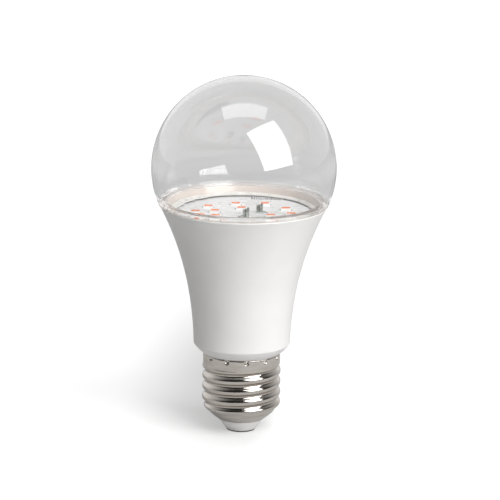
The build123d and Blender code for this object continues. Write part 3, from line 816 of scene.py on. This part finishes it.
# Painted shade: the silicone's colour darkens towards its foot on the board, where the gap under its edge
# lies in shade.
low = add(tree, "MapRange", {0: height, 1: GLUE_FOOT_Z + PAINTED_SHADE_HEIGHT, 2: GLUE_FOOT_Z + PAINTED_SHADE_FULL})
painted_shade = {0: low.outputs[0], 6: milky, 7: linear("#5E5953")}
painted_shade = add(tree, "Mix", painted_shade, data_type="RGBA")
tree.links.new(painted_shade.outputs[2], shader.inputs["Base Color"])
piece("silicone_bead", points, faces, silicone, ["globe_adhesive"], sharp=50)

# %% [markdown]
# The board and its LEDs.
#
# The board is aluminium with a white solder mask, satin and very even. Each LED is a moulded white
# package with a pocket of phosphor-filled silicone, orange-red because it is made for growing plants.
# The solids have the right form at this size, so only their finishes are set here.

# %% Board and LED finishes
package_names = sorted(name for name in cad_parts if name.startswith("led_body"))
phosphor_names = sorted(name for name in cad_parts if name.startswith("led_phosphor"))
paint(
    finish(
        "white_solder_mask",
        colours=("#EDEDED", "#F2F2F2"),
        rough=(0.24, 0.36),
        patch=7.0,
        grain=(0.6, 0.01),
        IOR=1.5,
    ),
    "led_board",
)
paint(
    finish(
        "white_led_resin",
        colours=("#F6F6F4", "#FAFAF8"),
        rough=(0.3, 0.45),
        patch=1.0,
        grain=(0.12, 0.003),
        IOR=1.5,
    ),
    *package_names,
)
paint(
    finish(
        "orange_phosphor",
        colours=("#FF7018", "#FF8A30"),
        rough=(0.2, 0.35),
        patch=0.5,
        grain=(0.08, 0.004),
        IOR=1.41,
    ),
    *phosphor_names,
)

# %% [markdown]
# The solder of the packages.
#
# The solder that holds a package climbs up its two ends as a small hollow fillet, and its dark
# glint marks the packages' ends from a step away. A plain wedge would mirror only one part of the
# room, so each fillet has a hollow section, carried across the end of its package's box.

# %% Solder at the ends of the packages
FILLET_WIDTH = 1.9
FILLET_REACH = 0.32
FILLET_HEIGHT = 0.34
FILLET_TAPER = 0.15
FILLET_STEPS = 5


def solder_fillets(boxes):
    """Points of one fillet at each end of each box: its hollow face follows (reach (1 - sin t),
    height (1 - cos t)) for t from 0 to 90 degrees, and it narrows a little on the way up."""
    t = np.linspace(0, math.pi / 2, FILLET_STEPS)
    out = FILLET_REACH * (1 - np.sin(t))
    up = FILLET_HEIGHT * (1 - np.cos(t))
    half = FILLET_WIDTH / 2 * (1 - FILLET_TAPER * up / FILLET_HEIGHT)
    section = np.stack([np.append(out, 0), np.append(up, 0), np.append(half, half[0])])
    left, right, middle, foot = boxes.T
    ends = np.concatenate([np.stack([left, middle, foot]), np.stack([right, middle, foot])], axis=1).T
    way = np.repeat([-1, 1], len(boxes))[:, None, None]
    side = np.array([-1, 1])[None, :, None]
    x = ends[:, 0, None, None] + way * section[0][None, None, :]
    y = ends[:, 1, None, None] + way * side * section[2][None, None, :]
    z = ends[:, 2, None, None] + section[1][None, None, :]
    return np.stack(np.broadcast_arrays(x, y, z), axis=-1)


led_boxes = np.array(
    [(low.x, high.x, (low.y + high.y) / 2, low.z) for low, high in map(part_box, package_names)]
) / MM
points = solder_fillets(led_boxes)
steps = points.shape[2]
first = 2 * steps * np.arange(points.shape[0])[:, None]
along = np.arange(steps)[None, :]
beside = (along + 1) % steps
quads = np.stack([first + beside, first + along, first + along + steps, first + beside + steps], axis=-1)
ends = np.concatenate([first + along, first + 2 * steps - 1 - along])
faces = quads.reshape(-1, 4).tolist() + ends.tolist()
solder = finish(
    "tin_solder",
    colours=("#9A9C9C", "#B2B4B4"),
    rough=(0.18, 0.35),
    patch=0.4,
    grain=(0.1, 0.006),
    metallic=1.0,
)
piece("led_solder_fillets", points, faces, solder, sharp=50)

# %% [markdown]
# The spring terminals.
#
# Each is one strip of tinned sheet, folded up into a small tower that grips a pin from the driver, with
# a foot that is soldered to the board. Every crease turns the metal to another part of the room, so
# the tower shows upright light and dark stripes from a step away.

# %% Spring terminals
SHEET_HALF = 0.11
TOWER_HIGH = 3.1
TOWER_SLOPE = math.tan(math.radians(12))
FOOT_HALF = 0.75
FOLD_CUT = 0.12
SECTION = 4


def folded_strip(path, low, high, across):
    """Strip of sheet along a path of points. Its width runs from low to high along one direction, and
    its faces lie half a thickness to each side, along the cross product of the path's direction
    and that one."""
    normal = np.cross(np.gradient(path, axis=0), across)
    normal = normal / np.linalg.norm(normal, axis=1, keepdims=True) * SHEET_HALF
    start = path + np.asarray(across) * low[:, None]
    end = path + np.asarray(across) * high[:, None]
    return np.stack([start - normal, end - normal, end + normal, start + normal], axis=1)


def strip_faces(first, rows):
    """Quads of a strip whose points start at the number first, with both ends closed. Each of its rows
    has the SECTION corners of the sheet's cross-section."""
    ends = np.array([[3, 2, 1, 0], [0, 1, 2, 3]]) + [[0], [SECTION * (rows - 1)]]
    return np.vstack([ring_faces(rows, SECTION, closed=False), ends]) + first


tower_plan = rounded(
    [
        (-0.99, 0.74),
        (-0.99, -0.60),
        (-0.48, -0.74),
        (-0.34, -0.05),
        (-0.02, -0.05),
        (0.08, -0.74),
        (0.50, -0.52),
        (0.70, -0.74),
        (0.99, -0.60),
        (0.99, 0.74),
        (0.30, 0.74),
    ],
    [FOLD_CUT] * 9,
    steps=4,
)
foot_plans = {
    "left": rounded([(-2.6, 0.13), (-2.1, 0.13), (-1.5, 0.34), (-0.9, 0.13), (1.0, 0.13)], [0.2] * 3),
    "right": rounded([(-1.4, 0.13), (0.9, 0.13), (1.5, 0.50), (2.1, 0.13), (2.6, 0.13)], [0.25] * 3),
}
tinned = finish(
    "tinned_spring_sheet",
    colours=("#989E99", "#B9BEB9"),
    rough=(0.14, 0.26),
    patch=0.8,
    grain=(0.15, 0.006),
    metallic=1.0,
)
for side, foot_plan in foot_plans.items():
    low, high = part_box("terminal_" + side)
    middle = np.array([(low.x + high.x) / 2, (low.y + high.y) / 2, low.z]) / MM
    plan = np.column_stack([tower_plan, np.zeros(len(tower_plan))])
    top = TOWER_HIGH - TOWER_SLOPE * (tower_plan[:, 0].max() - tower_plan[:, 0])
    tower = folded_strip(plan, 0 * top, top, (0, 0, 1))
    line = np.column_stack([foot_plan[:, 0], np.zeros(len(foot_plan)), foot_plan[:, 1]])
    half = np.full(len(line), FOOT_HALF)
    foot = folded_strip(line, -half, half, (0, 1, 0))
    points = np.vstack([tower.reshape(-1, 3), foot.reshape(-1, 3)]) + middle
    faces = strip_faces(0, len(plan)).tolist() + strip_faces(SECTION * len(plan), len(line)).tolist()
    piece("folded_terminal_" + side, points, faces, tinned, ["terminal_" + side])

# %% [markdown]
# Pins, cup, contact and insulator.
#
# The pins are tinned and satin, and the cup is drawn aluminium, whose faint marks run up its wall.
# The contact at the tip is dull, and its dark colour is painted shade for the shadowed floor that
# it mirrors. The insulator round it is a plain white moulding.
# Their solids are right as they are, so each only gets its finish.

# %% Pins, cup, contact and insulator
paint(
    finish(
        "tinned_square_pin",
        colours=("#B4B4B0", "#CACAC6"),
        rough=(0.2, 0.3),
        patch=0.8,
        grain=(0.15, 0.004),
        metallic=1.0,
    ),
    "output_pin_left",
    "output_pin_right",
)
aluminium = finish(
    "drawn_aluminium",
    colours=("#A6A6A6", "#BDBDBE"),
    rough=(0.25, 0.4),
    patch=4.0,
    grain=(0.3, 0.01),
    metallic=1.0,
    stretch=(1, 1, 0.15),
)
paint(aluminium, "heat_sink_cup")
# Painted shade: the contact's colour is made dark for the shadowed floor under it.
paint(
    finish(
        "plated_contact_painted_shade",
        colours=("#6F6B66", "#86817B"),
        rough=(0.3, 0.45),
        patch=2.0,
        grain=(0.25, 0.008),
        metallic=1.0,
    ),
    "centre_contact",
)
paint(
    finish(
        "white_moulded_insulator",
        colours=("#F1F0EE", "#F5F4F2"),
        rough=(0.38, 0.5),
        patch=3.0,
        grain=(0.2, 0.008),
        IOR=1.5,
    ),
    "cap_insulator",
)

# %% [markdown]
# The knurled rim.
#
# The board has a notch at the back, and through it the rim of the aluminium cup shows: it is rolled into
# fine upright ribs that hold the plastic. A sheet with a wave in its plan gives them, and it leans
# back a little, so that it mirrors the light from above.

# %% Knurled rim in the notch
KNURL_R = 22.95
KNURL_DEEP = 0.3
KNURL_UP = 0.2
KNURL_DOWN = 1.6
KNURL_LEAN = (0, 0.28, 0.96)
KNURLS = 15
KNURL_STEPS = 8
KNURL_ENDS = np.radians([54.5, 83.0])

turn_at = np.linspace(KNURL_ENDS[0], KNURL_ENDS[1], KNURL_STEPS * KNURLS + 1)
ribs = np.abs(np.sin(np.linspace(0, np.pi * KNURLS, len(turn_at))))
knurl_r = KNURL_R - KNURL_DEEP * ribs
level = np.full(len(turn_at), BOARD_Z)
plan = np.column_stack([knurl_r * np.cos(turn_at), knurl_r * np.sin(turn_at), level])
low = np.full(len(plan), -KNURL_DOWN)
high = np.full(len(plan), KNURL_UP)
points = folded_strip(plan, low, high, KNURL_LEAN)
faces = strip_faces(0, len(plan)).tolist()
piece("knurled_cup_rim", points, faces, aluminium, sharp=60)

# %% [markdown]
# The driver inside.
#
# None of the driver shows from outside, but it is there when the lamp is taken apart. Modelling its
# windings and legs would add nothing to the picture, so each piece keeps its solid and gets the
# finish that such a part has.

# %% Driver parts
driver_finishes = {
    "driver_board": finish(
        "green_glass_laminate", ("#2C5A34", "#37693F"), (0.3, 0.4), patch=4.0, grain=(0.5, 0.02)
    ),
    "electrolytic_capacitor": finish(
        "black_shrink_sleeve", ("#1D1D22", "#26262B"), (0.3, 0.4), patch=3.0, grain=(0.4, 0.01)
    ),
    "inductor_core": finish(
        "sintered_ferrite", ("#26262A", "#303034"), (0.5, 0.65), patch=1.5, grain=(0.15, 0.01)
    ),
    "inductor_winding": finish(
        "enamelled_copper",
        ("#A4572E", "#BE6E3E"),
        (0.2, 0.3),
        patch=1.0,
        grain=(0.2, 0.02),
        metallic=1.0,
    ),
    "film_capacitor": finish(
        "dipped_epoxy", ("#8E2219", "#A22A1F"), (0.25, 0.35), patch=3.0, grain=(0.8, 0.02)
    ),
    "controller_chip": finish(
        "black_chip_moulding", ("#17171A", "#202024"), (0.45, 0.55), patch=1.5, grain=(0.1, 0.005)
    ),
    "bridge_rectifier": finish(
        "black_rectifier_moulding", ("#151518", "#1E1E22"), (0.45, 0.6), patch=1.5, grain=(0.1, 0.005)
    ),
    "fuse_resistor": finish(
        "flameproof_coat", ("#56705E", "#62806B"), (0.45, 0.6), patch=1.5, grain=(0.2, 0.02)
    ),
    "live_lead": finish("red_pvc", ("#A8201A", "#B92A22"), (0.4, 0.5), patch=2.0, grain=(0.3, 0.01)),
    "neutral_lead": finish(
        "tinned_copper_wire",
        ("#B5B0A6", "#C4C0B8"),
        (0.25, 0.35),
        patch=1.0,
        grain=(0.2, 0.005),
        metallic=1.0,
    ),
}
for name, material in driver_finishes.items():
    paint(material, name)
